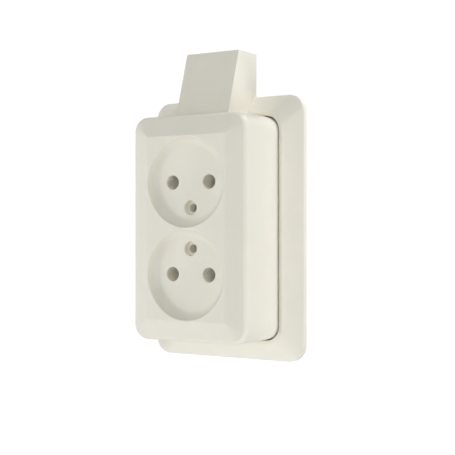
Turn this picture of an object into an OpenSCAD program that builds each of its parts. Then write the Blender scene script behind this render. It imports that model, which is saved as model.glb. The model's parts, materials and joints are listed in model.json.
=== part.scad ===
// Double wall socket for round two-pin plugs, surface mounted, in millimetres.
// +X runs to the right as seen from the front, +Y into the wall and +Z up.
// The origin is on the wall, behind the middle of the two wells.
// "Height" below means the distance from the wall towards the room.

/* [Sockets] */
// Distance between the two pins of a plug
pin_pitch = 19; // [17:0.5:21]
// Diameter of a plug well at its rim
well_d = 39.6; // [37:0.2:42]
// Depth of a well below the front face
well_depth = 4.4; // [3.5:0.1:6]
// Width of the land between the two wells and round them
well_land = 0.9; // [0.7:0.1:3]
// Chamfer round the rim of a well
well_chamfer = 0.25; // [0.1:0.05:0.4]
// Diameter of a pin hole
pin_hole_d = 6.3; // [5.4:0.1:6.6]
// Chamfer round the mouth of a pin hole
pin_chamfer = 0.25; // [0.1:0.05:0.5]
// Wall of the guide tube behind a pin hole
guide_wall = 1.3; // [1:0.1:1.6]
// Length of the guide tube, from the floor of the well
guide_len = 10.6; // [9:0.2:11.6]

/* [Cap] */
// Width of the cap
cap_w = 59; // [57:0.5:64]
// Height of the cap from bottom to top
cap_h = 99.5; // [98:0.5:106]
// Height of the front face above the wall
cap_front = 38.5; // [36:0.5:44]
// Corner radius of the cap seen from the front
cap_corner_r = 6.7; // [4:0.1:9]
// Thickness of the side walls
cap_wall = 1.8; // [1.4:0.1:2.4]
// Thickness of the front wall and of the well floors
front_wall = 2.2; // [1.8:0.1:3]
// Fall of the bevel from the flat front to its outer crease
bevel_drop = 2.3; // [1:0.1:3.5]
// Radius of the rounded edge between bevel and side
edge_r = 3.6; // [2:0.1:5]
// Sweep of that rounded edge, in degrees
edge_angle = 52; // [40:1:60]
// Thickness of the ribs inside the cap
rib_t = 1.2; // [1:0.1:1.6]
// Depth of those ribs below the floor of a well
rib_depth = 3; // [2:0.2:4]

/* [Cap screws] */
// Distance of a cap screw from the line of its pins
screw_offset = 11.3; // [10:0.1:12]
// Diameter of the recess for the screw head
recess_d = 6.5; // [6:0.1:7]
// Depth of that recess below the well floor
recess_depth = 2.3; // [1.6:0.1:3]
// Diameter of the screw hole in the cap
screw_hole_d = 3.8; // [3.4:0.1:4.2]
// Wall of the cap's screw boss
boss_wall = 1.5; // [1.2:0.1:1.8]
// Length of the threaded inserts
insert_len = 8; // [5:0.5:10]
// Outer diameter of the threaded inserts
insert_d = 5; // [4.6:0.1:5.4]
// Core diameter of their thread
insert_core_d = 2.9; // [2.5:0.1:3.3]

/* [Wall frame] */
// Width of the frame
frame_w = 79.3; // [78:0.5:84]
// Height of the frame from bottom to top
frame_h = 119.4; // [118:0.5:126]
// Height of the frame's upright outer edge
frame_side = 3.3; // [2.6:0.1:4]
// Height of the ridge round the opening
frame_ridge = 8.8; // [8:0.1:10]
// Corner radius of the frame
frame_corner_r = 7.6; // [5:0.1:10]
// Gap between the frame and the cap
shadow_gap = 0.55; // [0.4:0.05:1]
// Corner radius of the opening
opening_corner_r = 6.9; // [6:0.1:8]
// Width of the small chamfer inside the ridge
lip_w = 1.55; // [1:0.05:1.9]
// Fall of that chamfer towards the opening
lip_drop = 0.5; // [0.2:0.05:0.8]
// Wall of the frame
frame_wall = 1.6; // [1.3:0.1:2]
// Thickness of the webs under the frame's bevel
web_t = 1.2; // [1:0.1:1.6]
// Distance between those webs along the sides
web_pitch = 30; // [24:1:32]

/* [Hood] */
// Width of the hood
hood_w = 27.6; // [24:0.2:32]
// Rise of the hood above the cap
hood_rise = 29.95; // [25:0.5:40]
// Depth of the hood at its top
hood_top_depth = 15.9; // [14:0.1:18]
// Depth of the hood at its foot
hood_foot_depth = 25.3; // [20:0.1:28]
// Wall of the hood
hood_wall = 1.8; // [1.4:0.1:2.2]
// Width of the cable mouth in the hood's top
mouth_w = 14; // [10:0.5:16]
// Depth of that mouth from the wall
mouth_depth = 9; // [7:0.5:11]
// Clearance between the hood and the notch in the frame
hood_gap = 0.05; // [0.05:0.05:0.3]

/* [Base] */
// Thickness of the base
base_t = 2; // [1.8:0.1:2.4]
// Clearance round the base inside the frame and the cap
base_gap = 0.3; // [0.1:0.05:0.4]
// Height of the raised rim that the cap slips over
spigot_top = 10; // [8:0.5:13]
// Wall of that rim
spigot_wall = 1.6; // [1.2:0.1:2]
// Distance between the two holes for wall screws
wall_hole_pitch = 60; // [58:0.5:61]
// Diameter of the holes for wall screws
wall_hole_d = 4.6; // [4:0.1:5]
// Room left free round the head of a wall screw
wall_head_room = 10.6; // [9:0.2:11]
// Wall of the collar round such a hole
collar_wall = 1.6; // [1.2:0.1:1.6]
// Height of that collar
collar_h = 1; // [0.6:0.1:1.4]
// Width of the rail that holds the hood
rail_w = 22.4; // [20:0.2:22.8]
// Width of the rail's foot on the wall
rail_foot_w = 16; // [12:0.5:17]
// Distance from the top of the hood down to the end of the rail
rail_drop = 7.4; // [6:0.2:14]
// Thickness of the rail's head
rail_head_t = 1.4; // [1:0.1:2]

/* [Live parts] */
// Width of a brass strip
strip_w = 7; // [6:0.2:7.6]
// Thickness of a brass strip
strip_t = 0.8; // [0.6:0.1:1.2]
// Height of the strips above the base
strip_rise = 2; // [1.6:0.1:2.6]
// Inner diameter of a contact sleeve
sleeve_bore = 4.9; // [4.4:0.1:5]
// Wall of a contact sleeve
sleeve_wall = 0.75; // [0.6:0.05:0.9]
// Gap between a guide tube and its contact sleeve
sleeve_gap = 0.4; // [0.3:0.1:1]
// Width of the slits in a contact sleeve
slit_w = 0.8; // [0.5:0.1:1.2]
// Wire of the sleeve springs
spring_wire = 0.8; // [0.5:0.1:0.9]
// Width of a contact block
block_w = 32; // [30:0.5:40]
// Size of a contact block along the cap
block_h = 11.2; // [10.8:0.1:12]
// Gap between the guide tubes and the front of a contact block
block_gap = 4.5; // [3:0.5:6]
// Diameter of a block's pockets
pocket_d = 8.6; // [8.4:0.1:8.8]
// Width of a terminal
terminal_w = 8; // [7:0.2:8.4]
// Length of a terminal along the cap
terminal_l = 9; // [8:0.2:9.4]
// Height of a terminal
terminal_t = 8.6; // [7:0.2:10]
// Diameter of a terminal's wire hole
wire_hole_d = 3.6; // [3:0.1:4]

/* [Fasteners] */
// Shank of the small screws
shank_d = 2.8; // [2.4:0.1:3]
// Head of the small screws
head_d = 5.2; // [4.6:0.1:5.6]
// Height of their heads
head_h = 1.7; // [1.4:0.1:2]
// Clearance round a shank in its hole
shank_gap = 0.1; // [0.05:0.05:0.2]
// Width of a driver slot
driver_w = 0.9; // [0.7:0.1:1.1]
// Depth of a driver slot
driver_depth = 0.8; // [0.6:0.1:1]
// Chamfer on the heads and tips of the screws
screw_chamfer = 0.4; // [0.2:0.05:0.5]

/* [Cable entry] */
// Diameter of the cable way
cable_d = 7; // [6:0.2:7.4]
// Width of the clamp strap
strap_w = 25; // [23:0.5:27]
// Size of the strap along the cable
strap_l = 4; // [3.4:0.1:4.2]
// Thickness of the strap
strap_t = 2.6; // [2:0.1:3.4]
// Distance between the clamp screws
clamp_pitch = 18.4; // [18:0.2:19]
// Wall of the grommet round the cable
grommet_wall = 1.1; // [0.9:0.1:1.4]
// Height of the saddle under the cable
saddle_h = 4; // [3.6:0.2:5]
// Thickness of the pole barrier
barrier_t = 1.6; // [1.2:0.1:2]
// Rise of the pole barrier above the terminals
barrier_rise = 6.6; // [4:0.2:8]
// Wall of the grooves that hold the barrier
groove_wall = 1.2; // [1:0.1:1.6]

/* [Hidden] */
$fn = 96;

// How far one shape reaches into the next, so that the two join
eps = 0.01;
// How far a cut runs past the solid that it cuts
over = 1;
corner_steps = 16;
sides = [-1, 1];
pin_x = pin_pitch / 2;

// Wells and the flat front round them
well_pitch = well_d + well_land;
well_z = well_pitch / 2;
well_floor = cap_front - well_depth;
cove_r = well_depth - well_chamfer;
flat_w = well_d + well_land;
flat_h = flat_w + well_pitch;
flat_corner_r = 0.2;
well_back_d = well_d - 2;
guide_end = well_floor - guide_len;
guide_d = pin_hole_d + 2 * guide_wall;
rib_foot = well_floor - front_wall - rib_depth;

// Cap
edge_drop = edge_r * sin(edge_angle);
crease = cap_front - bevel_drop;
side_top = crease - edge_drop;
cavity_w = cap_w - 2 * cap_wall;
cavity_h = cap_h - 2 * cap_wall;
cavity_r = cap_corner_r - cap_wall;
cavity_top = crease - front_wall - 0.4;
cap_top_z = cap_h / 2;
cable_gate_w = 16;
cable_gate_top = 16;

// Cap screws
screw_z = well_z - screw_offset;
boss_d = recess_d + 2 * boss_wall;
recess_floor = well_floor - recess_depth;
boss_len = 6;
post_top = recess_floor - boss_len;
post_d = insert_d + 2 * boss_wall;

// Frame
opening_w = cap_w + 2 * shadow_gap;
opening_h = cap_h + 2 * shadow_gap;
ridge_w = opening_w + 2 * lip_w;
ridge_h = opening_h + 2 * lip_w;
ridge_r = opening_corner_r + lip_w;
ridge_land = 0.05;
foot_break = 0.25;
rim_break = 0.2;
hollow_foot = frame_side - 0.5;
hollow_top = frame_ridge - frame_wall - 0.6;
edge_wall = 2.1;
flange_w = frame_w - 2 * (edge_wall + base_gap);
flange_h = frame_h - 2 * (edge_wall + base_gap);
flange_r = frame_corner_r - edge_wall - base_gap;

// Hood
hood_top_z = cap_top_z + hood_rise;
rail_start_z = flange_h / 2;
rail_end_z = hood_top_z - rail_drop;
rail_len = rail_end_z - rail_start_z;
rail_gap = 0.3;
rail_root = 2;
rail_head_setback = 2.4;
rail_rib_w = 2.6;

// Base
spigot_w = cavity_w - 2 * base_gap;
spigot_h = cavity_h - 2 * base_gap;
spigot_r = cavity_r - base_gap;
spigot_inner_z = spigot_h / 2 - spigot_wall;
catch_z = 25;
catch_len = 10;
catch_h = 7;
catch_depth = 0.8;
catch_root = 0.2;
catch_foot_h = 2.4;
catch_tip_h = 0.6;
catch_play = 0.2;

// Live parts
strip_seat = base_t + strip_rise;
strip_top = strip_seat + strip_t;
sleeve_foot = strip_top;
sleeve_foot_t = 0.8;
sleeve_top = guide_end - sleeve_gap;
sleeve_d = sleeve_bore + 2 * sleeve_wall;
sleeve_foot_lip = 0.2;
sleeve_mouth = 0.4;
sleeve_mouth_l = 1;
sleeve_split = sleeve_foot + 7;
spring_angle = 320;
block_top = guide_end - block_gap;
spring_at = block_top - 2 * spring_wire;
rivet_d = 2.5;
rivet_head_d = 4.2;
rivet_head_h = 0.8;
boss_top = 9;
block_boss_d = 6.4;
block_play = 0.2;
strip_play = 0.3;
strip_room = 1.2;
seat_foot = 1;
strip_low_z = -well_z - 4.2;
strip_high_z = 40;
strip_screw_z = 0;
terminal_z = strip_high_z - terminal_l / 2;
wire_h = strip_top + terminal_t / 2 - 0.6;
terminal_top = strip_top + terminal_t;
base_screw_tip = 1.5;
block_screw_tip = base_t + 2;
terminal_screw_tip = wire_h + 0.4;

// Cable entry
saddle_top = base_t + saddle_h;
strap_setback = 1.3;
strap_z = spigot_inner_z - strap_setback - strap_l / 2;
grommet_d = cable_d + 2 * grommet_wall;
grommet_flange_d = grommet_d + 1.6;
grommet_flange_t = 0.9;
grommet_gap = 0.2;
cable_h = base_t + grommet_gap + grommet_flange_d / 2;
barrier_start_z = wall_hole_pitch / 2 + wall_head_room / 2;
barrier_end_z = strap_z - strap_l / 2 - base_gap;
barrier_top = terminal_top + barrier_rise;
barrier_gap = 0.1;

// Shared shapes

// A rectangle with rounded corners, drawn as seen from the front
module rounded(w, h, r) {
    square([w - 2 * r, h], center = true);
    square([w, h - 2 * r], center = true);
    for (x = sides, z = sides)
        translate([x * (w / 2 - r), z * (h / 2 - r)])
            circle(r = r);
}

// Raises an outline, drawn as seen from the front, from one height to another
module raise(from, to) {
    translate([0, -from, 0])
        rotate([90, 0, 0])
            linear_extrude(height = to - from)
                children();
}

// The points of a rounded outline at one height, corner by corner
function ring(w, h, r, at) = [
    for (corner = [0 : 3], i = [0 : corner_steps])
        let (a = 90 * corner + 90 * i / corner_steps)
        let (side = (corner == 0 || corner == 3) ? 1 : -1)
        let (end = corner < 2 ? 1 : -1)
        [side * (w / 2 - r) + r * cos(a), -at, end * (h / 2 - r) + r * sin(a)]
];

// A closed solid whose skin runs through a stack of rings
module loft(rings) {
    count = len(rings[0]);
    last = len(rings) - 1;
    foot = [for (i = [0 : count - 1]) i];
    top = [for (i = [count - 1 : -1 : 0]) last * count + i];
    skin = [
        for (j = [0 : last - 1], i = [0 : count - 1])
            let (a = j * count + i)
            let (b = j * count + (i + 1) % count)
            each [[a, b + count, b], [a, a + count, b + count]]
    ];
    polyhedron(points = [for (one = rings) each one], faces = concat([foot], skin, [top]));
}

// A round bar or hole that stands out from the wall
module bar(x, z, d, from, to) {
    translate([x, -from, z])
        rotate([90, 0, 0])
            cylinder(d = d, h = to - from);
}

// A cone that stands out from the wall
module taper(x, z, d1, d2, from, to) {
    translate([x, -from, z])
        rotate([90, 0, 0])
            cylinder(d1 = d1, d2 = d2, h = to - from);
}

// Turns a profile of radius and height about an axis that stands out from the wall
module turned(x, z) {
    translate([x, 0, z])
        rotate([90, 0, 0])
            rotate_extrude()
                children();
}

// A box given by its middle and size across, and its two heights
module slab(x, z, w, h, from, to) {
    translate([x - w / 2, -to, z - h / 2])
        cube([w, to - from, h]);
}

// A slotted screw whose head stands on a given height and whose shank reaches down to its tip
module screw(x, z, seat, tip) {
    head_top = seat + head_h;
    difference() {
        turned(x, z)
            polygon([
                [0, tip],
                [shank_d / 2 - screw_chamfer, tip],
                [shank_d / 2, tip + screw_chamfer],
                [shank_d / 2, seat],
                [head_d / 2, seat],
                [head_d / 2, head_top - screw_chamfer],
                [head_d / 2 - screw_chamfer, head_top],
                [0, head_top]
            ]);
        slab(x, z, head_d + over, driver_w, head_top - driver_depth, head_top + over);
    }
}

// Wall frame

// The frame's solid outside: upright edge, then the bevel up to the ridge
module frame_outside() {
    loft([
        ring(frame_w - 2 * foot_break, frame_h - 2 * foot_break, frame_corner_r - foot_break, 0),
        ring(frame_w, frame_h, frame_corner_r, foot_break),
        ring(frame_w, frame_h, frame_corner_r, frame_side - rim_break),
        ring(frame_w - 2 * rim_break, frame_h - 2 * rim_break, frame_corner_r - rim_break, frame_side),
        ring(ridge_w, ridge_h, ridge_r, frame_ridge)
    ]);
}

// The opening for the cap, with the small chamfer between the ridge and the opening
module frame_opening() {
    mouth_w = ridge_w - 2 * ridge_land;
    mouth_h = ridge_h - 2 * ridge_land;
    mouth_r = ridge_r - ridge_land;
    loft([
        ring(opening_w, opening_h, opening_corner_r, -over),
        ring(opening_w, opening_h, opening_corner_r, frame_ridge - lip_drop),
        ring(mouth_w, mouth_h, mouth_r, frame_ridge - ridge_land * lip_drop / lip_w),
        ring(mouth_w, mouth_h, mouth_r, frame_ridge + over)
    ]);
}

// The hollow under the bevel, with webs left standing in it
module frame_hollow() {
    difference() {
        loft([
            ring(flange_w, flange_h, flange_r, base_t - over),
            ring(flange_w, flange_h, flange_r, hollow_foot),
            ring(ridge_w + 1, ridge_h + 1, ridge_r, hollow_top)
        ]);
        raise(base_t - 2 * over, frame_ridge)
            rounded(opening_w + 2 * frame_wall, opening_h + 2 * frame_wall, opening_corner_r + frame_wall);
        for (side = sides, step = [-1.5 : 1 : 1.5])
            slab(side * (opening_w + frame_w) / 4, step * web_pitch, (frame_w - opening_w) / 2, web_t,
                 base_t - 2 * over, frame_ridge);
        for (x = sides, z = sides)
            slab(x * (opening_w / 2 + hood_w / 2) / 2, z * (opening_h + frame_h) / 4, web_t,
                 (frame_h - opening_h) / 2, base_t - 2 * over, frame_ridge);
    }
}

module wall_frame() {
    color("antiquewhite")
        difference() {
            frame_outside();
            frame_opening();
            raise(-over, base_t)
                rounded(flange_w + base_gap, flange_h + base_gap, flange_r);
            frame_hollow();
            slab(0, frame_h / 2, hood_w + 2 * hood_gap, frame_h / 2, -over, frame_ridge + over);
        }
}

// Cap

// The cap's solid outside: upright sides, rounded edge, bevel and flat front
module cap_outside() {
    steps = 6;
    edge = [
        for (i = [0 : steps])
            let (a = edge_angle * i / steps)
            let (inset = edge_r * (1 - cos(a)))
            ring(cap_w - 2 * inset, cap_h - 2 * inset, cap_corner_r - inset, side_top + edge_r * sin(a))
    ];
    loft(concat(
        [ring(cap_w, cap_h, cap_corner_r, base_t)],
        edge,
        [ring(flat_w, flat_h, flat_corner_r, cap_front)]
    ));
}

// What is taken out for one well: a flat floor, a round cove and a small chamfer at the rim
module well_cut(z) {
    turned(0, z) {
        translate([0, well_floor])
            square([well_d / 2 - cove_r, well_depth + over]);
        difference() {
            translate([well_d / 2 - cove_r, cap_front - well_chamfer])
                circle(r = cove_r);
            translate([0, cap_front - well_chamfer])
                square([well_d, well_d]);
        }
        polygon([
            [0, cap_front - well_chamfer],
            [well_d / 2, cap_front - well_chamfer],
            [well_d / 2 + well_chamfer + over, cap_front + over],
            [0, cap_front + over]
        ]);
    }
}

// One pin hole through the well floor and its guide tube
module pin_hole(x, z) {
    bar(x, z, pin_hole_d, guide_end - over, well_floor + over);
    taper(x, z, pin_hole_d, pin_hole_d + 4 * pin_chamfer,
          well_floor - pin_chamfer, well_floor + pin_chamfer);
}

// The recess and hole for one cap screw
module cap_screw_hole(z) {
    bar(0, z, recess_d, recess_floor, well_floor + over);
    bar(0, z, screw_hole_d, post_top - over, recess_floor + over);
}

// The groove inside the cap for a catch on the base
module catch_groove(side) {
    half = catch_foot_h / 2 + catch_play;
    for (z = sides)
        slab(side * (cavity_w + catch_depth - over) / 2, z * catch_z, catch_depth + over,
             catch_len + 4 * catch_play, catch_h - half, catch_h + half);
}

module socket_cap() {
    color("antiquewhite")
        difference() {
            union() {
                difference() {
                    cap_outside();
                    raise(-over, cavity_top)
                        rounded(cavity_w, cavity_h, cavity_r);
                }
                for (z = sides) {
                    bar(0, z * well_z, well_back_d, well_floor - front_wall, cavity_top + eps);
                    bar(0, z * screw_z, boss_d, post_top, well_floor - eps);
                    for (x = sides) {
                        bar(x * pin_x, z * well_z, guide_d, guide_end, well_floor - eps);
                        slab(x * (pin_x + cap_w / 2 - cap_wall / 2) / 2, z * well_z,
                             cap_w / 2 - cap_wall / 2 - pin_x, rib_t, rib_foot, cavity_top + eps);
                    }
                }
                slab(0, 0, rib_t, 2 * screw_z, rib_foot, cavity_top + eps);
            }
            for (z = sides) {
                well_cut(z * well_z);
                cap_screw_hole(z * screw_z);
                for (x = sides)
                    pin_hole(x * pin_x, z * well_z);
            }
            for (side = sides)
                catch_groove(side);
            slab(0, cap_top_z, cable_gate_w, 4 * cap_wall, -over, cable_gate_top);
        }
}

// Hood

// The hood's side view, with its walls moved in by a thickness
module hood_side(inset) {
    slope = (hood_foot_depth - hood_top_depth) / hood_rise;
    front_inset = inset * sqrt(1 + slope * slope);
    back = inset > 0 ? -over : 0;
    polygon([
        [back, cap_top_z - inset],
        [hood_foot_depth - front_inset + slope * inset, cap_top_z - inset],
        [hood_top_depth - front_inset + slope * inset, hood_top_z - inset],
        [back, hood_top_z - inset]
    ]);
}

// Carries a side view, drawn as height and Z, across the hood
module across(w) {
    rotate([90, 0, -90])
        translate([0, 0, -w / 2])
            linear_extrude(height = w)
                children();
}

module cable_hood() {
    color("antiquewhite")
        difference() {
            union() {
                difference() {
                    across(hood_w)
                        hood_side(0);
                    across(hood_w - 2 * hood_wall)
                        hood_side(hood_wall);
                }
                for (x = sides)
                    translate([x * (hood_w / 2 - hood_wall - rail_rib_w / 2), 0, 0])
                        slab(0, (rail_start_z + rail_end_z) / 2, rail_rib_w, rail_len - rail_root,
                             rail_gap, base_t - rail_gap);
            }
            slab(0, hood_top_z, mouth_w, 4 * hood_wall, -over, mouth_depth - mouth_w / 4);
            for (x = sides)
                translate([x * (mouth_w / 4), -(mouth_depth - mouth_w / 4), hood_top_z - 2 * hood_wall])
                    cylinder(d = mouth_w / 2, h = 4 * hood_wall);
            slab(0, hood_top_z, mouth_w / 2, 4 * hood_wall, 0, mouth_depth);
            slab(0, cap_top_z, hood_w + 2 * over, 2 * (rail_start_z + base_gap - cap_top_z), -over, base_t);
        }
}

// Base

// A catch on the side of the base's rim, with sloping flanks
module catch(side, z) {
    root = spigot_w / 2 - catch_root;
    tip = spigot_w / 2 + base_gap + catch_depth - 2 * catch_play;
    translate([0, 0, z - catch_len / 2])
        linear_extrude(height = catch_len)
            polygon([
                [side * root, -catch_h + catch_foot_h / 2],
                [side * root, -catch_h - catch_foot_h / 2],
                [side * tip, -catch_h - catch_tip_h / 2],
                [side * tip, -catch_h + catch_tip_h / 2]
            ]);
}

// The way for the cable through the rim and over the saddle
module cable_way(d, from_z, to_z) {
    translate([0, -cable_h, from_z])
        cylinder(d = d, h = to_z - from_z);
    translate([-d / 2, -spigot_top - over, from_z])
        cube([d, spigot_top + over - cable_h, to_z - from_z]);
}

module base_plate() {
    color("dimgray")
        difference() {
            union() {
                raise(0, base_t)
                    rounded(flange_w, flange_h, flange_r);
                raise(base_t - eps, spigot_top)
                    difference() {
                        rounded(spigot_w, spigot_h, spigot_r);
                        rounded(spigot_w - 2 * spigot_wall, spigot_h - 2 * spigot_wall,
                                spigot_r - spigot_wall);
                    }
                for (side = sides, z = sides)
                    catch(side, z * catch_z);
                for (z = sides) {
                    bar(0, z * screw_z, post_d, base_t - eps, post_top);
                    bar(0, z * wall_hole_pitch / 2, wall_hole_d + 2 * collar_wall, base_t - eps,
                        base_t + collar_h);
                    bar(0, z * well_z, block_boss_d, base_t - eps, boss_top);
                }
                for (x = sides) {
                    bar(x * pin_x, strip_screw_z, strip_w, base_t - eps, strip_seat);
                    slab(x * pin_x, terminal_z, strip_w + 1, terminal_l - 1, base_t - eps, strip_seat);
                    slab(x * pin_x, -well_z - (block_h - seat_foot) / 2, strip_w, seat_foot,
                         base_t - eps, strip_seat);
                    slab(x * (barrier_t / 2 + barrier_gap + groove_wall / 2),
                         (barrier_start_z + barrier_end_z) / 2, groove_wall,
                         barrier_end_z - barrier_start_z, base_t - eps, saddle_top);
                }
                slab(0, strap_z, strap_w, strap_l, base_t - eps, saddle_top);
                slab(0, (rail_end_z + rail_start_z - rail_root) / 2, rail_foot_w, rail_len + rail_root,
                     0, base_t);
                slab(0, (rail_end_z + rail_start_z + rail_head_setback) / 2, rail_w,
                     rail_len - rail_head_setback, base_t - eps, base_t + rail_head_t);
            }
            for (z = sides) {
                bar(0, z * wall_hole_pitch / 2, wall_hole_d, -over, base_t + collar_h + over);
                bar(0, z * screw_z, insert_d, post_top - insert_len, post_top + over);
                bar(0, z * well_z, shank_d + 2 * shank_gap, block_screw_tip - over, boss_top + over);
            }
            for (x = sides) {
                bar(x * pin_x, strip_screw_z, shank_d + 2 * shank_gap, base_screw_tip / 2,
                    strip_seat + over);
                bar(x * clamp_pitch / 2, strap_z, shank_d + 2 * shank_gap, base_screw_tip / 2,
                    saddle_top + over);
            }
            cable_way(cable_d, strap_z - strap_l, strap_z + strap_l / 2 + eps);
            cable_way(grommet_d, spigot_inner_z - over, spigot_h / 2 + over);
        }
}

// Live parts

// One contact block, which holds two sleeves over the strips
module contact_block(z) {
    difference() {
        slab(0, z, block_w, block_h, base_t, block_top);
        for (x = sides) {
            slab(x * pin_x, z, strip_w + 2 * strip_play, block_h + over, base_t - over,
                 strip_top + strip_room);
            bar(x * pin_x, z, pocket_d, base_t - over, block_top + over);
        }
        bar(0, z, block_boss_d + 2 * block_play, base_t - over, boss_top);
        bar(0, z, shank_d + 2 * shank_gap, base_t, block_top + over);
        bar(0, z, head_d + 2 * block_play, block_top - head_h, block_top + over);
    }
}

module upper_block() {
    color("ivory")
        contact_block(well_z);
}

module lower_block() {
    color("ivory")
        contact_block(-well_z);
}

module block_screws() {
    color("silver")
        for (z = sides)
            screw(0, z * well_z, block_top - head_h, block_screw_tip);
}

// A brass strip with holes for its rivets and its screw
module busbar(x) {
    difference() {
        union() {
            slab(x, (strip_low_z + strip_high_z) / 2, strip_w, strip_high_z - strip_low_z,
                 strip_seat, strip_top);
            bar(x, strip_low_z, strip_w, strip_seat, strip_top);
        }
        for (z = sides)
            bar(x, z * well_z, rivet_d, strip_seat - over, strip_top + over);
        bar(x, strip_screw_z, shank_d + 2 * shank_gap, strip_seat - over, strip_top + over);
    }
}

module left_busbar() {
    color("goldenrod")
        busbar(-pin_x);
}

module right_busbar() {
    color("goldenrod")
        busbar(pin_x);
}

module strip_screws() {
    color("silver")
        for (x = sides)
            screw(x * pin_x, strip_screw_z, strip_top, base_screw_tip);
}

// One contact sleeve, split in four so that it grips the pin
module contact_sleeve(x, z) {
    difference() {
        turned(x, z)
            polygon([
                [rivet_d / 2, sleeve_foot],
                [sleeve_d / 2 + sleeve_foot_lip, sleeve_foot],
                [sleeve_d / 2 + sleeve_foot_lip, sleeve_foot + sleeve_foot_t],
                [sleeve_d / 2, sleeve_foot + sleeve_foot_t],
                [sleeve_d / 2, sleeve_top],
                [sleeve_bore / 2 + sleeve_mouth, sleeve_top],
                [sleeve_bore / 2, sleeve_top - sleeve_mouth_l],
                [sleeve_bore / 2, sleeve_foot + sleeve_foot_t],
                [rivet_d / 2, sleeve_foot + sleeve_foot_t]
            ]);
        slab(x, z, slit_w, sleeve_d + 2 * over, sleeve_split, sleeve_top + over);
        slab(x, z, sleeve_d + 2 * over, slit_w, sleeve_split, sleeve_top + over);
    }
}

module contact_upper_left() {
    color("gold")
        contact_sleeve(-pin_x, well_z);
}

module contact_upper_right() {
    color("gold")
        contact_sleeve(pin_x, well_z);
}

module contact_lower_left() {
    color("gold")
        contact_sleeve(-pin_x, -well_z);
}

module contact_lower_right() {
    color("gold")
        contact_sleeve(pin_x, -well_z);
}

// One open spring ring round a contact sleeve
module sleeve_spring(x, z) {
    translate([x, -spring_at, z])
        rotate([90, 0, 0])
            rotate_extrude(angle = spring_angle)
                translate([sleeve_d / 2 + spring_wire / 2, 0])
                    circle(d = spring_wire);
}

module spring_upper_left() {
    color("gray")
        sleeve_spring(-pin_x, well_z);
}

module spring_upper_right() {
    color("gray")
        sleeve_spring(pin_x, well_z);
}

module spring_lower_left() {
    color("gray")
        sleeve_spring(-pin_x, -well_z);
}

module spring_lower_right() {
    color("gray")
        sleeve_spring(pin_x, -well_z);
}

module contact_rivets() {
    color("darkgoldenrod")
        for (x = sides, z = sides) {
            bar(x * pin_x, z * well_z, rivet_head_d, sleeve_foot + sleeve_foot_t,
                sleeve_foot + sleeve_foot_t + rivet_head_h);
            bar(x * pin_x, z * well_z, rivet_d, strip_seat - eps, sleeve_foot + sleeve_foot_t + eps);
            bar(x * pin_x, z * well_z, rivet_head_d, strip_seat - rivet_head_h, strip_seat);
        }
}

// A brass terminal with a wire hole along the cap and a screw hole from the front
module terminal(x) {
    difference() {
        slab(x, terminal_z, terminal_w, terminal_l, strip_top, terminal_top);
        translate([x, -wire_h, terminal_z - terminal_l])
            cylinder(d = wire_hole_d, h = 2 * terminal_l);
        bar(x, terminal_z, shank_d + 2 * shank_gap, wire_h, terminal_top + over);
    }
}

module left_terminal() {
    color("goldenrod")
        terminal(-pin_x);
}

module right_terminal() {
    color("goldenrod")
        terminal(pin_x);
}

module terminal_screws() {
    color("silver")
        for (x = sides)
            screw(x * pin_x, terminal_z, terminal_top, terminal_screw_tip);
}

module pole_barrier() {
    color("ivory")
        slab(0, (barrier_start_z + barrier_end_z) / 2, barrier_t, barrier_end_z - barrier_start_z,
             base_t, barrier_top);
}

// Cable entry

module cord_clamp() {
    color("ivory")
        difference() {
            union() {
                slab(0, strap_z, strap_w, strap_l, saddle_top, saddle_top + strap_t);
                translate([0, -cable_h, strap_z - strap_l / 2])
                    cylinder(d = cable_d + 2 * strap_t, h = strap_l);
            }
            slab(0, strap_z, strap_w + 2 * over, strap_l + 2 * over, -over, saddle_top);
            translate([0, -cable_h, strap_z - strap_l])
                cylinder(d = cable_d, h = 2 * strap_l);
            for (x = sides)
                bar(x * clamp_pitch / 2, strap_z, shank_d + 2 * shank_gap,
                    saddle_top - over, saddle_top + strap_t + over);
        }
}

module clamp_screws() {
    color("silver")
        for (x = sides)
            screw(x * clamp_pitch / 2, strap_z, saddle_top + strap_t, base_screw_tip);
}

module entry_grommet() {
    color("dimgray")
        difference() {
            union() {
                translate([0, -cable_h, spigot_inner_z])
                    cylinder(d = grommet_d, h = spigot_wall);
                translate([0, -cable_h, spigot_inner_z - grommet_flange_t])
                    cylinder(d = grommet_flange_d, h = grommet_flange_t);
                translate([0, -cable_h, spigot_inner_z + spigot_wall])
                    cylinder(d = grommet_flange_d, h = grommet_flange_t);
            }
            translate([0, -cable_h, spigot_inner_z - grommet_flange_t - over])
                cylinder(d = cable_d, h = spigot_wall + 2 * (grommet_flange_t + over));
        }
}

module cap_inserts() {
    color("goldenrod")
        for (z = sides)
            difference() {
                bar(0, z * screw_z, insert_d, post_top - insert_len, post_top);
                bar(0, z * screw_z, insert_core_d, post_top - insert_len - over, post_top + over);
            }
}

wall_frame();
socket_cap();
cable_hood();
base_plate();
upper_block();
lower_block();
block_screws();
left_busbar();
right_busbar();
strip_screws();
contact_upper_left();
contact_upper_right();
contact_lower_left();
contact_lower_right();
spring_upper_left();
spring_upper_right();
spring_lower_left();
spring_lower_right();
contact_rivets();
left_terminal();
right_terminal();
terminal_screws();
pole_barrier();
cord_clamp();
clamp_screws();
entry_grommet();
cap_inserts();
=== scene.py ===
# %% [markdown]
# # A double wall socket
#
# The object is a surface mounted double socket for round two-pin plugs: a cream cap with two round
# wells, a bevelled frame round it, and a hood on top that takes the cable. Its solids are exact CAD
# nodes, so this lesson is about what Blender adds to them: a camera that stands where the
# photographer stood, soft light from a white tent, a finish for every piece, inside ones too, and
# smooth shading that keeps the real creases.

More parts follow.
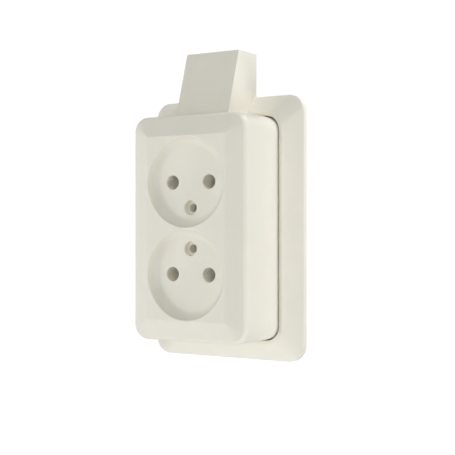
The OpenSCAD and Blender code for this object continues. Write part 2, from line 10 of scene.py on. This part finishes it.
# %% Load the solids
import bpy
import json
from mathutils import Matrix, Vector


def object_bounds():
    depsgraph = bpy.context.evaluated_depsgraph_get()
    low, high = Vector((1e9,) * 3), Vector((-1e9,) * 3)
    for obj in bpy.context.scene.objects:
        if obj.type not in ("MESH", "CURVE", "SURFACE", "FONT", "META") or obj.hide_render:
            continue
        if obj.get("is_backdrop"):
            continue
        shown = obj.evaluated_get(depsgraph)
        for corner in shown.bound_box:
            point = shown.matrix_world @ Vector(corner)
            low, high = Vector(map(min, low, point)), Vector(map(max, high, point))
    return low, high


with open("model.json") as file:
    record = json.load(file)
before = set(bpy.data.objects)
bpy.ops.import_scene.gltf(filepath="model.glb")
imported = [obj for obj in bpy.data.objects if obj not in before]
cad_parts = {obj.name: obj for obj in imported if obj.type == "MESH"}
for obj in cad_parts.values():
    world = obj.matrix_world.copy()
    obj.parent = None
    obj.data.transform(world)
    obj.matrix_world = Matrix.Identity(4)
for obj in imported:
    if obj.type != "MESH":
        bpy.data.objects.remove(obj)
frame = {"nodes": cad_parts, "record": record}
solid_low, solid_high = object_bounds()
solids = frame["nodes"]
print(f"{len(solids)} solids, {solid_high.z - solid_low.z:.4f} m from foot to hood")

# %% [markdown]
# Everything below is in metres, but a socket is a thing of millimetres, so one factor turns the
# numbers that a maker would say into Blender's units.

# %% Units and modules
import json
import math
import bmesh
import bpy
from mathutils import Vector

MM = 0.001
WHITE = (1.0, 1.0, 1.0, 1.0)
print(f"one millimetre is {MM} Blender units")

# %% [markdown]
# ## Camera
#
# The picture was taken from half a metre away, well to the right of the front and level with the
# middle of the socket. A camera could be placed by eye, but the socket has many straight edges of
# known length, and they fix the turn, the distance and the lens together. A level camera keeps
# upright edges upright, and the small shift is what the framing of the photograph needs.

# %% Camera
PHOTO_SIDE_PX = 455
FOCAL_LENGTH_PX = 1029.87
HORIZON_BELOW_MIDDLE_PX = 0.55
SENSOR_WIDTH = 36.0
LEVEL = math.radians(90)
CAMERA_TURN = math.radians(31.45)
CAMERA_PLACE = Vector((249.0, -410.21, 0.09)) * MM
NEAREST_SEEN = 10 * MM
FARTHEST_SEEN = 20.0

camera_data = bpy.data.cameras.new("photo_camera")
camera_data.sensor_width = SENSOR_WIDTH
camera_data.lens = FOCAL_LENGTH_PX / PHOTO_SIDE_PX * SENSOR_WIDTH
camera_data.shift_y = HORIZON_BELOW_MIDDLE_PX / PHOTO_SIDE_PX
camera_data.clip_start = NEAREST_SEEN
camera_data.clip_end = FARTHEST_SEEN
camera = bpy.data.objects.new("photo_camera", camera_data)
camera.location = CAMERA_PLACE
camera.rotation_euler = (LEVEL, 0, CAMERA_TURN)
bpy.context.scene.collection.objects.link(camera)
bpy.context.scene.camera = camera
print(f"lens {camera_data.lens:.1f} mm at {CAMERA_PLACE.length:.3f} m from the origin")

# %% [markdown]
# ## Light
#
# The socket hangs in a white tent, so nearly all the light comes from pale cloth, and the picture
# has no shadow on the ground. One even world colour could stand for the tent, but then every face
# would look the same. The photograph shows the right side of the cap and the lower slope of the
# frame brightest, and the bevel that looks right darker than the one that looks left. So the tent
# is a dim even world plus eight soft panels, each with a plain purpose: two reach the right side
# from behind and from below, two fill from the left, two lift the front from above and below, one
# beside the camera looks into the pin holes, and the last lights the back, which the photograph
# never shows. The Standard view keeps white cloth pure white.

# %% Soft panels
PANEL_DISTANCE = 1.25


def soft_panel(name, turn, rise, side, power):
    """A square light; turn is degrees to the right of the front, rise is degrees above level."""
    data = bpy.data.lights.new(name, "AREA")
    data.shape = "SQUARE"
    data.size = side
    data.energy = power
    turn = math.radians(turn)
    rise = math.radians(rise)
    reach = math.cos(rise)
    away = Vector((math.sin(turn) * reach, -math.cos(turn) * reach, math.sin(rise)))
    panel = bpy.data.objects.new(name, data)
    panel.location = PANEL_DISTANCE * away
    panel.rotation_euler = away.to_track_quat("Z", "Y").to_euler()
    bpy.context.scene.collection.objects.link(panel)
    print(f"{name}: {side} m wide, {power} W")


bpy.context.scene.view_settings.view_transform = "Standard"
soft_panel("camera_fill", turn=30, rise=0, side=0.55, power=3.7)
soft_panel("left_fill", turn=-45, rise=-12, side=1.10, power=7.3)
soft_panel("left_side", turn=-90, rise=0, side=0.55, power=2.9)
soft_panel("right_low", turn=90, rise=-38, side=0.80, power=7.6)
soft_panel("behind_right", turn=120, rise=55, side=0.55, power=9.4)
soft_panel("front_high", turn=30, rise=55, side=0.55, power=2.7)
soft_panel("front_low", turn=0, rise=-50, side=0.55, power=0.9)
soft_panel("behind_fill", turn=180, rise=10, side=0.80, power=7.0)

# %% [markdown]
# ## Small helpers for shader nodes
#
# The world and every finish below are node trees. Nodes could be made with long runs of
# assignments, but a few short helpers keep each tree readable: fill gives a node's inputs their
# numbers, colours or wires, add makes a node and fills it, calculate is a Math node, noise is a
# noise texture, and spread maps a mask from one range to another.

# %% Node helpers
def wire(tree, source, target):
    tree.links.new(source, target)


def fill(tree, node, **values):
    """Fills inputs by name, with _ for a space; a value may be another node's output."""
    for key, value in values.items():
        socket = node.inputs[key.replace("_", " ")]
        if isinstance(value, bpy.types.NodeSocket):
            wire(tree, value, socket)
        else:
            socket.default_value = value


def add(tree, kind, settings=None, **values):
    """Adds a node; settings are its own properties, values fill its inputs."""
    made = tree.nodes.new(kind)
    for key, value in (settings or {}).items():
        setattr(made, key, value)
    fill(tree, made, **values)
    return made


def calculate(tree, operation, first, second, clamp=False):
    """A Math node with two terms, each a number or another node's output."""
    made = add(tree, "ShaderNodeMath", {"operation": operation, "use_clamp": clamp})
    for term, socket in zip((first, second), made.inputs):
        if isinstance(term, bpy.types.NodeSocket):
            wire(tree, term, socket)
        else:
            socket.default_value = term
    return made.outputs["Value"]


def noise(tree, place, scale, detail, roughness=0.5):
    """A noise mask; scale is in cells for each metre."""
    made = add(
        tree, "ShaderNodeTexNoise", Vector=place, Scale=scale, Detail=detail, Roughness=roughness
    )
    return made.outputs["Fac"]


def spread(tree, mask, span, wanted):
    """Maps a mask from the span that it really has to the range that is wanted."""
    made = add(tree, "ShaderNodeMapRange", Value=mask)
    fill(tree, made, From_Min=span[0], From_Max=span[1], To_Min=wanted[0], To_Max=wanted[1])
    return made.outputs["Result"]


print("node helpers ready")

# %% [markdown]
# The camera has to see pure white cloth, while the socket needs a dimmer tent to keep its shading.
# Two backgrounds could be composited later, but the world can do it alone: Light Path tells rays
# from the camera apart from rays that carry light.

# %% World
TENT_SEEN = 1.05
TENT_LIGHT = 0.08
FIRST_SHADER = 1
SECOND_SHADER = 2

world = bpy.data.worlds.new("white_tent")
world.use_nodes = True
bpy.context.scene.world = world
tent = world.node_tree
lit = tent.nodes["Background"]
fill(tent, lit, Color=WHITE, Strength=TENT_LIGHT)
seen = add(tent, "ShaderNodeBackground", Color=WHITE, Strength=TENT_SEEN)
ray = add(tent, "ShaderNodeLightPath")
choose = add(tent, "ShaderNodeMixShader", Fac=ray.outputs["Is Camera Ray"])
wire(tent, lit.outputs["Background"], choose.inputs[FIRST_SHADER])
wire(tent, seen.outputs["Background"], choose.inputs[SECOND_SHADER])
fill(tent, tent.nodes["World Output"], Surface=choose.outputs["Shader"])
print(f"tent: seen at {TENT_SEEN}, lights at {TENT_LIGHT}")

# %% [markdown]
# ## Shared effects
#
# Four effects are used by more than one material, so each is a group: a small tree with named
# inputs and outputs that is built once and placed wherever it is needed. The inputs are sizes in
# millimetres, strengths and a stretch, and every output is a mask.

# %% Group helper
def new_group(name, inputs, outputs):
    """A shader node group; inputs give their default values, outputs only their names."""
    tree = bpy.data.node_groups.new(name, "ShaderNodeTree")
    for label, value in inputs.items():
        socket = tree.interface.new_socket(
            name=label, in_out="INPUT", socket_type="NodeSocketFloat"
        )
        socket.default_value = value
    for label in outputs:
        tree.interface.new_socket(name=label, in_out="OUTPUT", socket_type="NodeSocketFloat")
    start = tree.nodes.new("NodeGroupInput")
    end = tree.nodes.new("NodeGroupOutput")
    print(f"group {name}: {', '.join(inputs)} -> {', '.join(outputs)}")
    return tree, start, end


print("group helper ready")

# %% [markdown]
# Moulded plastic is never quite even. The melt leaves broad soft waves in its tone and gloss, and
# the polished mould leaves a grain of a few hundredths of a millimetre. Both could be painted, but
# noise in object space needs no unwrapping, and it keeps its real size on every piece. The group
# puts out a tone mask, a gloss mask and a height, and each material decides how much to use.

# %% Moulded surface group
GRAIN_IN_GLOSS = 0.35


def moulded_surface():
    tree, start, end = new_group(
        "moulded_surface",
        {"Wave Size": 9.0, "Grain Size": 0.12},
        ("Tone", "Gloss", "Height"),
    )
    place = add(tree, "ShaderNodeTexCoord").outputs["Object"]
    wave_scale = calculate(tree, "DIVIDE", 1 / MM, start.outputs["Wave Size"])
    grain_scale = calculate(tree, "DIVIDE", 1 / MM, start.outputs["Grain Size"])
    waves = noise(tree, place, wave_scale, detail=3.0, roughness=0.5)
    grain = noise(tree, place, grain_scale, detail=2.0, roughness=0.6)
    gloss = add(tree, "ShaderNodeMix", Factor=GRAIN_IN_GLOSS, A=waves, B=grain)
    fill(tree, end, Tone=waves, Gloss=gloss.outputs["Result"], Height=grain)
    return tree


MOULDED_SURFACE = moulded_surface()

# %% [markdown]
# Hands and cloths polish the edges of plastic, and plating wears off the edges of metal. On the
# cream plastic the lighter edges are also a painted highlight. A mask of the edges could be painted
# by hand. The Bevel node finds them instead: where its rounded normal leaves the true one there is
# an edge, so the mask follows any change of the solids.

# %% Edge wear and highlight group
BEVEL_SAMPLES = 4
MATCH_ON_A_FACE = 1.0
MATCH_ON_AN_EDGE = 0.85


def edge_wear_and_highlight():
    tree, start, end = new_group("edge_wear_and_highlight", {"Reach": 0.3, "Strength": 1.0}, ("Mask",))
    reach = calculate(tree, "MULTIPLY", start.outputs["Reach"], MM)
    rounded = add(tree, "ShaderNodeBevel", {"samples": BEVEL_SAMPLES}, Radius=reach)
    true = add(tree, "ShaderNodeNewGeometry")
    match = add(tree, "ShaderNodeVectorMath", {"operation": "DOT_PRODUCT"})
    for normal, socket in zip((rounded, true), match.inputs):
        wire(tree, normal.outputs["Normal"], socket)
    edge = spread(tree, match.outputs["Value"], (MATCH_ON_A_FACE, MATCH_ON_AN_EDGE), (0.0, 1.0))
    fill(tree, end, Mask=calculate(tree, "MULTIPLY", edge, start.outputs["Strength"], clamp=True))
    return tree


EDGE_WEAR_AND_HIGHLIGHT = edge_wear_and_highlight()

# %% [markdown]
# Ambient occlusion finds the inner corners of a socket by itself, where shade falls and, on the
# rubber, a little dust stays. Broken up with noise it gives a mask that is zero on open faces. The
# cream plastic uses it as painted shade, darker in corners and recesses; the black rubber uses it
# as paler dust.

# %% Corner shade and dust group
SKY_SAMPLES = 6
SKY_WITHOUT_SHADE_AND_DUST = 0.75
SKY_WITH_MOST_SHADE_AND_DUST = 0.25
SPECKS_PER_METRE = 900.0


def corner_shade_and_dust():
    tree, start, end = new_group("corner_shade_and_dust", {"Reach": 2.0, "Strength": 1.0}, ("Mask",))
    reach = calculate(tree, "MULTIPLY", start.outputs["Reach"], MM)
    sky = add(tree, "ShaderNodeAmbientOcclusion", {"samples": SKY_SAMPLES}, Distance=reach)
    place = add(tree, "ShaderNodeTexCoord").outputs["Object"]
    specks = noise(tree, place, SPECKS_PER_METRE, detail=3.0)
    # painted shade on the cream plastic and dust on the rubber: the less sky a point sees, the
    # stronger the mask
    corner = spread(tree, sky.outputs["AO"], (SKY_WITHOUT_SHADE_AND_DUST, SKY_WITH_MOST_SHADE_AND_DUST), (0.0, 1.0))
    broken = calculate(tree, "MULTIPLY", corner, specks)
    fill(tree, end, Mask=calculate(tree, "MULTIPLY", broken, start.outputs["Strength"], clamp=True))
    return tree


CORNER_SHADE_AND_DUST = corner_shade_and_dust()

# %% [markdown]
# Sheet metal and turned metal carry the fine lines of rolls and tools. Stretched noise draws them:
# one axis of the coordinates is squeezed, so that each speck becomes a line. Broad patches, for
# tarnish and for cloudy plating, come out of the same group.

# %% Drawn lines group
PATCHES_PER_METRE = 260.0


def drawn_lines():
    tree, start, end = new_group(
        "drawn_lines", {"Line Width": 0.05, "Stretch": 30.0}, ("Lines", "Patches")
    )
    place = add(tree, "ShaderNodeTexCoord").outputs["Object"]
    split = add(tree, "ShaderNodeSeparateXYZ", Vector=place)
    squeezed = calculate(tree, "DIVIDE", split.outputs["Z"], start.outputs["Stretch"])
    joined = add(
        tree, "ShaderNodeCombineXYZ", X=split.outputs["X"], Y=split.outputs["Y"], Z=squeezed
    )
    scale = calculate(tree, "DIVIDE", 1 / MM, start.outputs["Line Width"])
    lines = noise(tree, joined.outputs["Vector"], scale, detail=1.0)
    patches = noise(tree, place, PATCHES_PER_METRE, detail=4.0, roughness=0.6)
    fill(tree, end, Lines=lines, Patches=patches)
    return tree


DRAWN_LINES = drawn_lines()

# %% [markdown]
# ## Finishes
#
# A material needs the same few steps each time: a Principled shader, the shared groups, a blend of
# colours by mask, a roughness by mask, and a bump. Small functions take these steps, so that each
# finish below only states what is its own. Noise seldom reaches 0 or 1, so every finish names the
# span of the mask that it uses.

# %% Material helpers
MIX_FACTOR = 0
MIX_COLOURS = (6, 7)
MIX_RESULT = 2
GLOSS_SPAN = (0.25, 0.75)


def new_material(name):
    material = bpy.data.materials.new(name)
    material.use_nodes = True
    return material, material.node_tree, material.node_tree.nodes["Principled BSDF"]


def place_group(tree, group, **values):
    return add(tree, "ShaderNodeGroup", {"node_tree": group}, **values)


def blend_colours(tree, mask, first, second):
    """A colour between two, by a mask; each may be a colour or another node's output."""
    mix = add(tree, "ShaderNodeMix", {"data_type": "RGBA"})
    wire(tree, mask, mix.inputs[MIX_FACTOR])
    for colour, place in zip((first, second), MIX_COLOURS):
        if isinstance(colour, tuple):
            mix.inputs[place].default_value = colour
        else:
            wire(tree, colour, mix.inputs[place])
    return mix.outputs[MIX_RESULT]


def bump(tree, height, strength, depth):
    """A normal from a height; depth is in millimetres."""
    made = add(tree, "ShaderNodeBump", Strength=strength, Distance=depth * MM, Height=height)
    return made.outputs["Normal"]


print("material helpers ready")

# %% [markdown]
# The cap, the frame and the hood are one cream plastic with a satin gloss, but they come from three
# moulds. The hue is a warm white with hardly any yellow. A single colour would look like paint, so
# the tone drifts by a few hundredths, the gloss drifts with it, edges are a touch lighter, partly
# as polish and partly as a painted highlight, and corners and recesses are a touch darker as
# painted shade. Pale plastic also lets light in for about a millimetre, which is why the pin holes
# look grey and not black, so a part of the light scatters under the surface.

# %% Cream plastic
CREAM_LIGHT = (0.910, 0.883, 0.790, 1.0)
CREAM_DARK = (0.894, 0.864, 0.768, 1.0)
# a lighter cream for the edges: polish, and also a painted highlight along them
CREAM_POLISH_AND_HIGHLIGHT = (0.925, 0.905, 0.825, 1.0)
CREAM_ROUGHNESS = (0.30, 0.40)
# a grey that is painted shade in the cream's corners and dust on the black rubber
DUST_AND_SHADE = (0.62, 0.60, 0.54, 1.0)
SCATTER_SHARE = 0.35
SCATTER_DEPTH = 0.8 * MM
SCATTER_HUE = (1.0, 0.95, 0.80)


def cream_plastic(name, wave_size):
    material, tree, shader = new_material(name)
    surface = place_group(tree, MOULDED_SURFACE, Wave_Size=wave_size, Grain_Size=0.10)
    edges = place_group(tree, EDGE_WEAR_AND_HIGHLIGHT, Reach=0.35, Strength=0.20)
    dust_and_shade = place_group(tree, CORNER_SHADE_AND_DUST, Reach=0.8, Strength=0.40)
    tone = spread(tree, surface.outputs["Tone"], (0.30, 0.70), (0.0, 1.0))
    plain = blend_colours(tree, tone, CREAM_LIGHT, CREAM_DARK)
    # painted highlight and polish: the edges of the cream are painted lighter
    polished_and_highlit = blend_colours(tree, edges.outputs["Mask"], plain, CREAM_POLISH_AND_HIGHLIGHT)
    fill(
        tree,
        shader,
        # painted shade: the cream is darkened in its corners and recesses by the corner mask
        Base_Color=blend_colours(tree, dust_and_shade.outputs["Mask"], polished_and_highlit, DUST_AND_SHADE),
        Roughness=spread(tree, surface.outputs["Gloss"], GLOSS_SPAN, CREAM_ROUGHNESS),
        Normal=bump(tree, surface.outputs["Height"], strength=0.12, depth=0.02),
        IOR=1.50,
        Specular_IOR_Level=0.45,
        Subsurface_Weight=SCATTER_SHARE,
        Subsurface_Radius=SCATTER_HUE,
        Subsurface_Scale=SCATTER_DEPTH,
    )
    return material


cap_cream = cream_plastic("cap_cream", wave_size=14.0)
frame_cream = cream_plastic("frame_cream", wave_size=11.0)
hood_cream = cream_plastic("hood_cream", wave_size=9.0)
print("cream plastic for cap, frame and hood")

# %% [markdown]
# The base and the contact blocks are thermoset, a filled plastic that takes the heat of a loose
# contact. Its filler shows as fine specks and a dull skin. Voronoi cells of half a millimetre
# scatter the specks, and the moulded surface group gives the rest.

# %% Thermoset
CELLS_PER_METRE = 2200.0
SHADE_OF_WAVES = 0.82
ROUGHNESS_DRIFT = 0.08


def thermoset(name, body, speck, roughness):
    material, tree, shader = new_material(name)
    surface = place_group(tree, MOULDED_SURFACE, Wave_Size=5.0, Grain_Size=0.18)
    edges = place_group(tree, EDGE_WEAR_AND_HIGHLIGHT, Reach=0.25, Strength=0.5)
    place = add(tree, "ShaderNodeTexCoord").outputs["Object"]
    cells = add(tree, "ShaderNodeTexVoronoi", Vector=place, Scale=CELLS_PER_METRE)
    specks = spread(tree, cells.outputs["Distance"], (0.05, 0.35), (1.0, 0.0))
    speckled = blend_colours(tree, specks, body, speck)
    darker = tuple(SHADE_OF_WAVES * channel for channel in body[:3]) + (1.0,)
    tone = spread(tree, surface.outputs["Tone"], (0.35, 0.65), (0.0, 0.6))
    mottled = blend_colours(tree, tone, speckled, darker)
    dull = (roughness - ROUGHNESS_DRIFT, roughness + ROUGHNESS_DRIFT)
    fill(
        tree,
        shader,
        Base_Color=blend_colours(tree, edges.outputs["Mask"], mottled, speck),
        Roughness=spread(tree, surface.outputs["Gloss"], GLOSS_SPAN, dull),
        Normal=bump(tree, surface.outputs["Height"], strength=0.35, depth=0.03),
        Specular_IOR_Level=0.35,
    )
    return material


base_black = thermoset(
    "base_black", body=(0.055, 0.050, 0.046, 1.0), speck=(0.13, 0.12, 0.11, 1.0), roughness=0.58
)
block_ivory = thermoset(
    "block_ivory", body=(0.56, 0.51, 0.40, 1.0), speck=(0.68, 0.64, 0.54, 1.0), roughness=0.55
)
print("thermoset for the base and the blocks")

# %% [markdown]
# Brass strips are rolled and then tarnish in patches. Turned brass is brighter and its lines are
# finer. Both are the same material with other numbers: lines drive the roughness and the bump, and
# patches pull the colour towards a browner, duller brass.

# %% Brass
BRASS_EDGE = (0.95, 0.80, 0.50, 1.0)
BRASS_ROUGHNESS = (0.22, 0.42)
LINES_SPAN = (0.3, 0.7)


def brass(name, bright, tarnished, line_width, tarnish):
    material, tree, shader = new_material(name)
    lines = place_group(tree, DRAWN_LINES, Line_Width=line_width, Stretch=40.0)
    edges = place_group(tree, EDGE_WEAR_AND_HIGHLIGHT, Reach=0.15, Strength=0.8)
    patch = spread(tree, lines.outputs["Patches"], (0.40, 0.70), (0.0, tarnish))
    aged = blend_colours(tree, patch, bright, tarnished)
    fill(
        tree,
        shader,
        Base_Color=blend_colours(tree, edges.outputs["Mask"], aged, BRASS_EDGE),
        Roughness=spread(tree, lines.outputs["Lines"], LINES_SPAN, BRASS_ROUGHNESS),
        Normal=bump(tree, lines.outputs["Lines"], strength=0.25, depth=0.01),
        Metallic=1.0,
    )
    return material


strip_brass = brass(
    "strip_brass",
    bright=(0.86, 0.67, 0.33, 1.0),
    tarnished=(0.48, 0.33, 0.14, 1.0),
    line_width=0.08,
    tarnish=0.65,
)
contact_brass = brass(
    "contact_brass",
    bright=(0.90, 0.73, 0.40, 1.0),
    tarnished=(0.60, 0.44, 0.20, 1.0),
    line_width=0.04,
    tarnish=0.35,
)
print("brass for strips and contacts")

# %% [markdown]
# Screws are zinc plated, which leaves a pale, slightly blue and cloudy film. Spring wire is drawn
# and only oiled, so it is darker and its lines are finer. One function serves both.

# %% Steel
STEEL_EDGE = (0.82, 0.83, 0.85, 1.0)
POLISHED_BY = 0.08
DULLED_BY = 0.10


def steel(name, bright, cloudy, line_width, roughness):
    material, tree, shader = new_material(name)
    lines = place_group(tree, DRAWN_LINES, Line_Width=line_width, Stretch=12.0)
    edges = place_group(tree, EDGE_WEAR_AND_HIGHLIGHT, Reach=0.12, Strength=0.6)
    patch = spread(tree, lines.outputs["Patches"], (0.35, 0.70), (0.0, 0.8))
    clouded = blend_colours(tree, patch, bright, cloudy)
    brushed = (roughness - POLISHED_BY, roughness + DULLED_BY)
    fill(
        tree,
        shader,
        Base_Color=blend_colours(tree, edges.outputs["Mask"], clouded, STEEL_EDGE),
        Roughness=spread(tree, lines.outputs["Lines"], LINES_SPAN, brushed),
        Normal=bump(tree, lines.outputs["Lines"], strength=0.2, depth=0.008),
        Metallic=1.0,
    )
    return material


zinc_steel = steel(
    "zinc_steel",
    bright=(0.74, 0.76, 0.78, 1.0),
    cloudy=(0.58, 0.60, 0.62, 1.0),
    line_width=0.06,
    roughness=0.32,
)
spring_steel = steel(
    "spring_steel",
    bright=(0.48, 0.48, 0.49, 1.0),
    cloudy=(0.30, 0.29, 0.28, 1.0),
    line_width=0.03,
    roughness=0.38,
)
print("steel for screws and springs")

# %% [markdown]
# The grommet is soft black rubber. It is matt, a little bloomed with grey, and its mould leaves a
# faint pebble. Sheen gives rubber its velvety rim without any texture.

# %% Rubber
RUBBER_BLACK = (0.022, 0.022, 0.023, 1.0)
RUBBER_BLOOM = (0.050, 0.050, 0.050, 1.0)
RUBBER_ROUGHNESS = (0.62, 0.80)


def rubber(name):
    material, tree, shader = new_material(name)
    surface = place_group(tree, MOULDED_SURFACE, Wave_Size=2.5, Grain_Size=0.25)
    dust_and_shade = place_group(tree, CORNER_SHADE_AND_DUST, Reach=1.0, Strength=0.6)
    tone = spread(tree, surface.outputs["Tone"], (0.35, 0.70), (0.0, 1.0))
    bloomed = blend_colours(tree, tone, RUBBER_BLACK, RUBBER_BLOOM)
    fill(
        tree,
        shader,
        Base_Color=blend_colours(tree, dust_and_shade.outputs["Mask"], bloomed, DUST_AND_SHADE),
        Roughness=spread(tree, surface.outputs["Gloss"], GLOSS_SPAN, RUBBER_ROUGHNESS),
        Normal=bump(tree, surface.outputs["Height"], strength=0.4, depth=0.04),
        Sheen_Weight=0.15,
    )
    return material


grommet_rubber = rubber("grommet_rubber")
print("rubber for the grommet")

# %% [markdown]
# ## Dressing the solids
#
# Each solid takes the finish of its slot in the record. A table from piece to material could name
# all 27 pieces, but the record already says which piece belongs to which slot, so the table has one
# line for each finish.

# %% Put the finishes on
FINISH_OF_SLOT = {
    "frame_plastic": frame_cream,
    "cap_plastic": cap_cream,
    "hood_plastic": hood_cream,
    "base_thermoset": base_black,
    "block_thermoset": block_ivory,
    "strip_brass": strip_brass,
    "contact_brass": contact_brass,
    "spring_steel": spring_steel,
    "zinc_steel": zinc_steel,
    "grommet_rubber": grommet_rubber,
}


def dress(solid, finish):
    """Gives every material slot of a solid the same finish."""
    if not solid.material_slots:
        solid.data.materials.append(finish)
    for slot in solid.material_slots:
        slot.material = finish


for subpart in frame["record"]["subparts"]:
    dress(solids[subpart["node"]], FINISH_OF_SLOT[subpart["material_slot"]])
    print(f"{subpart['node']}: {subpart['material_slot']}")

# %% [markdown]
# ## Smooth shading
#
# A CAD solid arrives as many small flat faces. Which edges are real and which only approach a curve
# depends on the angle across them. The mesh must stay as the CAD says, so the shading can't be set
# on its edges. A small node modifier does the work instead: it shades every face smooth, and then
# every edge by whether its angle stays below a limit.

# %% Smoothing group
def smooth_by_angle(limit_degrees):
    """A geometry node group that shades edges below the limit smooth and keeps the others sharp."""
    tree = bpy.data.node_groups.new(f"smooth_below_{limit_degrees}", "GeometryNodeTree")
    for side in ("INPUT", "OUTPUT"):
        tree.interface.new_socket(
            name="Geometry", in_out=side, socket_type="NodeSocketGeometry"
        )
    start = tree.nodes.new("NodeGroupInput")
    end = tree.nodes.new("NodeGroupOutput")
    angle = add(tree, "GeometryNodeInputMeshEdgeAngle").outputs["Unsigned Angle"]
    limit = math.radians(limit_degrees)
    flat = add(tree, "FunctionNodeCompare", {"operation": "LESS_EQUAL"}, A=angle, B=limit)
    faces = add(tree, "GeometryNodeSetShadeSmooth", Geometry=start.outputs["Geometry"])
    edges = add(
        tree,
        "GeometryNodeSetShadeSmooth",
        {"domain": "EDGE"},
        Geometry=faces.outputs["Geometry"],
        Shade_Smooth=flat.outputs["Result"],
    )
    fill(tree, end, Geometry=edges.outputs["Geometry"])
    return tree


print("smoothing group ready")

# %% [markdown]
# The bevel of the cap leaves its flat front by 16 degrees and is a real crease, while the steps
# round a corner stay below 9. Round bars have wider steps, but no shallow creases. So the three big
# mouldings get a lower limit than the small parts. The faces arrive unjoined along the CAD edges,
# and an edge needs a face on both sides to have an angle, so a Weld modifier joins them first.

# %% Shade the solids
BIG_MOULDINGS = ("socket_cap", "wall_frame", "cable_hood")
WELD_REACH = 0.002 * MM
SMOOTH_BIG = smooth_by_angle(14)
SMOOTH_SMALL = smooth_by_angle(32)


def shade_smooth(solid, group):
    """Joins the faces of a solid and shades it by angle, with modifiers only."""
    weld = solid.modifiers.new("join_faces", "WELD")
    weld.merge_threshold = WELD_REACH
    shade = solid.modifiers.new("smooth_by_angle", "NODES")
    shade.node_group = group


for name, solid in solids.items():
    shade_smooth(solid, SMOOTH_BIG if name in BIG_MOULDINGS else SMOOTH_SMALL)
print(f"{len(solids)} solids shaded, {len(BIG_MOULDINGS)} of them with the lower limit")

# %% [markdown]
# ## Floor
#
# The tent has a pale floor, far enough below the socket to take no shadow, and small enough to stay
# out of the photograph's frame. A square sheet would do, but seen from behind it shows a corner, so
# this one is round. The panels leave it dim, so it is made to look as pale as cloth by a glow that
# only the camera sees. A glow that lights the socket too would lift all the undersides.

# %% Floor
FLOOR_DROP = 1.1
FLOOR_RADIUS = 4.6
FLOOR_SIDES = 128
FLOOR_WHITE = (0.92, 0.92, 0.92, 1.0)
FLOOR_SEEN = 0.80

floor_mesh = bpy.data.meshes.new("tent_floor")
sheet = bmesh.new()
bmesh.ops.create_circle(sheet, cap_ends=True, segments=FLOOR_SIDES, radius=FLOOR_RADIUS)
sheet.to_mesh(floor_mesh)
sheet.free()
floor = bpy.data.objects.new("tent_floor", floor_mesh)
floor.location.z = solid_low.z - FLOOR_DROP
bpy.context.scene.collection.objects.link(floor)

floor_white, cloth, floor_shader = new_material("floor_white")
camera_ray = add(cloth, "ShaderNodeLightPath").outputs["Is Camera Ray"]
glow = calculate(cloth, "MULTIPLY", camera_ray, FLOOR_SEEN)
fill(cloth, floor_shader, Base_Color=FLOOR_WHITE, Roughness=0.9)
fill(cloth, floor_shader, Emission_Color=WHITE, Emission_Strength=glow)
floor_mesh.materials.append(floor_white)
floor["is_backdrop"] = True
print(f"floor {FLOOR_DROP} m below the socket")

# %% [markdown]
# ## Size after dressing
#
# The dressed socket has to keep the size of its solids, so the last cell measures its box again
# and prints how much it has grown along each axis.

# %% Compare the boxes and finish
dressed_low, dressed_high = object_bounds()
for axis, name in enumerate("XYZ"):
    grown = (dressed_high[axis] - dressed_low[axis]) - (solid_high[axis] - solid_low[axis])
    print(f"{name}: grown by {grown / MM:.3f} mm")
